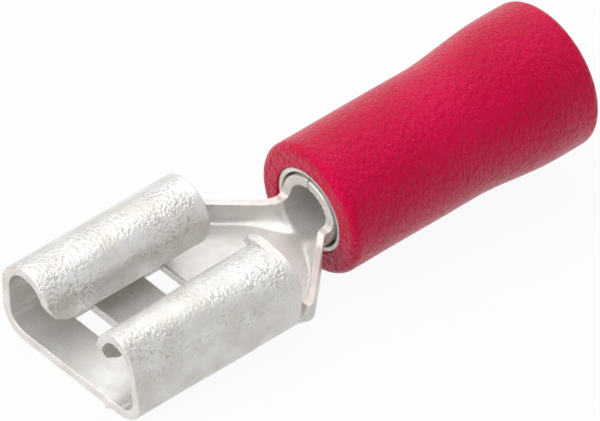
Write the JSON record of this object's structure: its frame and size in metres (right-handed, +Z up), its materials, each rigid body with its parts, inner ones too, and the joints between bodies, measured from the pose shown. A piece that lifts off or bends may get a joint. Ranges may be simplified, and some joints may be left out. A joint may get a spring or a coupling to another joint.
{
  "type": "female spade terminal",
  "caption": "Pre-insulated female spade terminal: receptacle with rolled wings for a flat tab, neck, wire barrel in a support tube, and a flared red sleeve.",
  "frame": {"origin": "middle of the mouth of the receptacle, half way between its floor and the free edges of the wings", "axes": "+X from the mouth along the wire barrel to the wire end, +Z up from the floor of the receptacle, +Y to the left when looking in +X"},
  "size_m": [0.0214, 0.0072, 0.0056],
  "materials": {
    "tinned_brass": "satin tin plating, slightly pitted",
    "tinned_copper": "satin tin plating",
    "red_vinyl": "finely wrinkled satin"
  },
  "bodies": {
    "root": {"terminal": "tinned_brass", "support_tube": "tinned_copper", "insulating_sleeve": "red_vinyl"}
  },
  "joints": []
}
